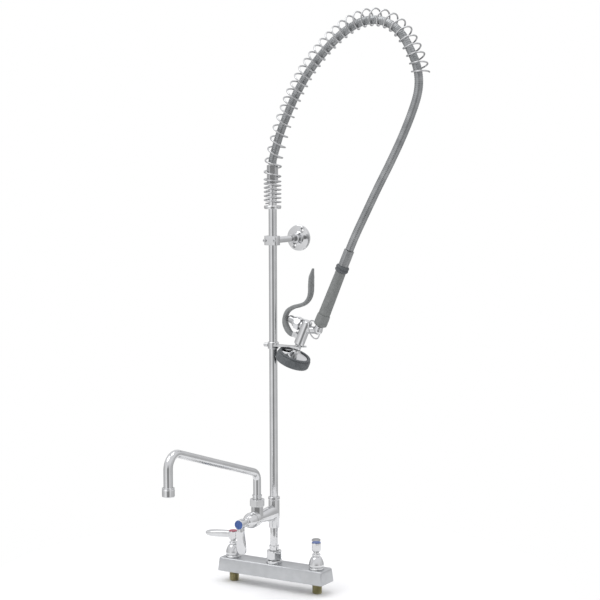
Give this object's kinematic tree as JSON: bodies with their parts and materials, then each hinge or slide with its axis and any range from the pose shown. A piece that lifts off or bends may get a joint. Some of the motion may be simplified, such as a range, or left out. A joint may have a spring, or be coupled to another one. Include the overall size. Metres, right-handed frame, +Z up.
{
  "type": "pre rinse faucet",
  "caption": "Deck-mount pre-rinse faucet: mixing base with lever handles, riser with overhead spring hose, squeeze-lever spray valve, wall bracket, swing nozzle.",
  "frame": {"origin": "the point on the axis of the riser in the deck plane the base stands on, midway between the two valves", "axes": "+X to the right along the base, towards the cold valve; +Y back towards the wall; +Z up along the riser"},
  "size_m": [0.5199, 0.4895, 1.179],
  "materials": {
    "chrome": "polished",
    "satin_chrome": "satin",
    "spring_chrome": "polished",
    "brass": "satin",
    "steel": "satin",
    "hose_steel": "ribbed",
    "ferrule_steel": "matte",
    "grip_grey": "matte",
    "lever_grey": "satin",
    "bumper_rubber": "matte",
    "seal_rubber": "matte",
    "index_red": "gloss",
    "index_blue": "gloss"
  },
  "bodies": {
    "faucet_base": {"deck_body": "satin_chrome", "inlet_shank_hot": "brass", "inlet_shank_cold": "brass", "outlet_ring": "chrome", "outlet_nut": "chrome", "outlet_sleeve": "chrome", "outlet_nipple": "chrome", "addon_body": "chrome", "nozzle_nut": "chrome", "nozzle_seal": "seal_rubber", "nozzle_collar": "chrome", "riser": "chrome", "spring_seat": "chrome", "hose_fitting": "steel", "bracket_clamp_front": "chrome", "bracket_clamp_back": "chrome", "bracket_screw_left": "steel", "bracket_screw_right": "steel", "bracket_arm": "chrome", "bracket_nut": "chrome", "bracket_flange": "chrome", "finger_hook": "chrome", "hook_screw": "steel", "overhead_spring": "spring_chrome", "flex_hose": "hose_steel", "hot_cartridge": "brass", "hot_bonnet": "chrome", "cold_cartridge": "brass", "cold_bonnet": "chrome", "addon_cartridge": "brass", "addon_bonnet": "chrome"},
    "hot_handle": {"hot_stem": "brass", "hot_handle": "chrome", "hot_handle_screw": "steel", "hot_index": "index_red"},
    "cold_handle": {"cold_stem": "brass", "cold_handle": "chrome", "cold_handle_screw": "steel", "cold_index": "index_blue"},
    "addon_handle": {"addon_stem": "brass", "addon_handle": "chrome", "addon_handle_screw": "steel", "addon_index": "index_blue"},
    "nozzle": {"swing_nozzle": "chrome", "nozzle_tip": "chrome"},
    "spray_gun": {"spray_valve_body": "chrome", "plunger_bonnet": "chrome", "valve_return_spring": "steel", "lever_pin": "steel", "handle_tube": "steel", "grip_collar": "grip_grey", "grip": "grip_grey", "swivel_collar": "bumper_rubber", "spray_bell": "chrome", "bumper_ring": "bumper_rubber", "spray_plate": "steel"},
    "lever": {"squeeze_lever": "lever_grey"},
    "plunger": {"plunger": "steel"},
    "hold_ring": {"hold_ring": "steel"},
    "hose_end": {"hose_ferrule": "ferrule_steel"}
  },
  "joints": [
    {"name": "hot_handle_turn", "type": "hinge", "parent": "faucet_base", "child": "hot_handle", "pos_m": [-0.1016, 0, 0.075], "axis": [0, 0, 1], "range_deg": [0, 90]},
    {"name": "cold_handle_turn", "type": "hinge", "parent": "faucet_base", "child": "cold_handle", "pos_m": [0.1016, 0, 0.075], "axis": [0, 0, -1], "range_deg": [0, 90]},
    {"name": "addon_handle_turn", "type": "hinge", "parent": "faucet_base", "child": "addon_handle", "pos_m": [0, -0.12, 0.135], "axis": [0, -1, 0], "range_deg": [0, 90]},
    {"name": "nozzle_swing", "type": "hinge", "parent": "faucet_base", "child": "nozzle", "pos_m": [0, -0.0645, 0.165], "axis": [0, 0, 1], "range_deg": [-150, 150]},
    {"name": "hose_flex", "type": "hinge", "parent": "faucet_base", "child": "spray_gun", "pos_m": [0.3, 0, 1.1], "axis": [0, -1, 0], "range_deg": [0, 20], "stiffness_Nm_per_rad": 6, "springref_deg": -28.65, "deforming": ["flex_hose", "overhead_spring"]},
    {"name": "lever_squeeze", "type": "hinge", "parent": "spray_gun", "child": "lever", "pos_m": [0.05481, 0, 0.50856], "axis": [0, 1, 0], "range_deg": [0, 12], "stiffness_Nm_per_rad": 0.6, "springref_deg": -20.05},
    {"name": "plunger_push", "type": "slide", "parent": "spray_gun", "child": "plunger", "axis": [0.9143, 0, -0.4051], "range_m": [0, 0.0065], "deforming": ["valve_return_spring"]},
    {"name": "hold_ring_flop", "type": "hinge", "parent": "spray_gun", "child": "hold_ring", "pos_m": [0.09698, 0, 0.52105], "axis": [0, 1, 0], "range_deg": [-8, 8]},
    {"name": "hose_end_swivel", "type": "hinge", "parent": "spray_gun", "child": "hose_end", "pos_m": [0.17226, 0, 0.66871], "axis": [0.4051, 0, 0.9143], "continuous": true}
  ],
  "couplings": [
    {"joint": "plunger_push", "follows": "lever_squeeze", "m_per_rad": 0.03}
  ]
}
